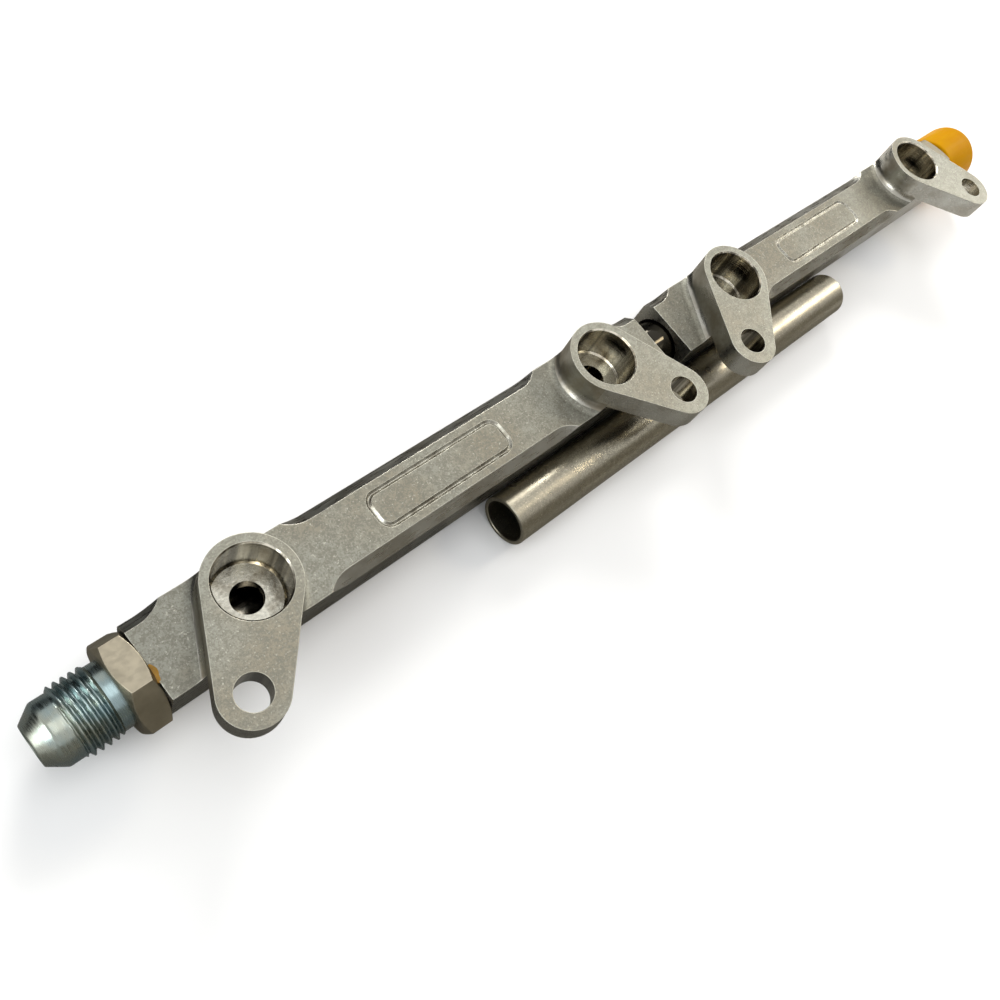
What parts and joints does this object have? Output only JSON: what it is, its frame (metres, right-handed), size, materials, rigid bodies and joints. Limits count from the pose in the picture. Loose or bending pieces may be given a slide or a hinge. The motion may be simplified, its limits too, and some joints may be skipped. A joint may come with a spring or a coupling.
{
  "type": "fuel rail",
  "caption": "Machined aluminium fuel rail in two joined blocks with raised injector sockets, splayed bolt ears, a flared inlet adaptor, a capped outlet and a plain side tube.",
  "frame": {"origin": "middle of the bounding box, on the surface that the rail lies on", "axes": "+X along the rail from the inlet adaptor to the capped outlet, +Z out of the injector sockets, ears towards -Y"},
  "size_m": [0.3212, 0.0322, 0.025],
  "materials": {
    "block_aluminium": "machined and tumbled, matte with semi-polished milled walls",
    "spigot_aluminium": "turned and polished",
    "plated_steel": "bright zinc plate",
    "port_ring_rubber": "amber brown fluorocarbon rubber",
    "joint_ring_rubber": "black rubber",
    "amber_plastic": "soft polyethylene",
    "tube_steel": "plain drawn stainless tube"
  },
  "bodies": {
    "root": {"front_rail_block": "block_aluminium", "rear_rail_block": "block_aluminium", "joiner_tube": "spigot_aluminium", "joiner_ring_1": "joint_ring_rubber", "joiner_ring_2": "joint_ring_rubber", "inlet_adaptor": "plated_steel", "inlet_port_ring": "port_ring_rubber", "outlet_adaptor": "plated_steel", "outlet_port_ring": "port_ring_rubber", "thread_protector_cap": "amber_plastic", "side_tube": "tube_steel"}
  },
  "joints": []
}
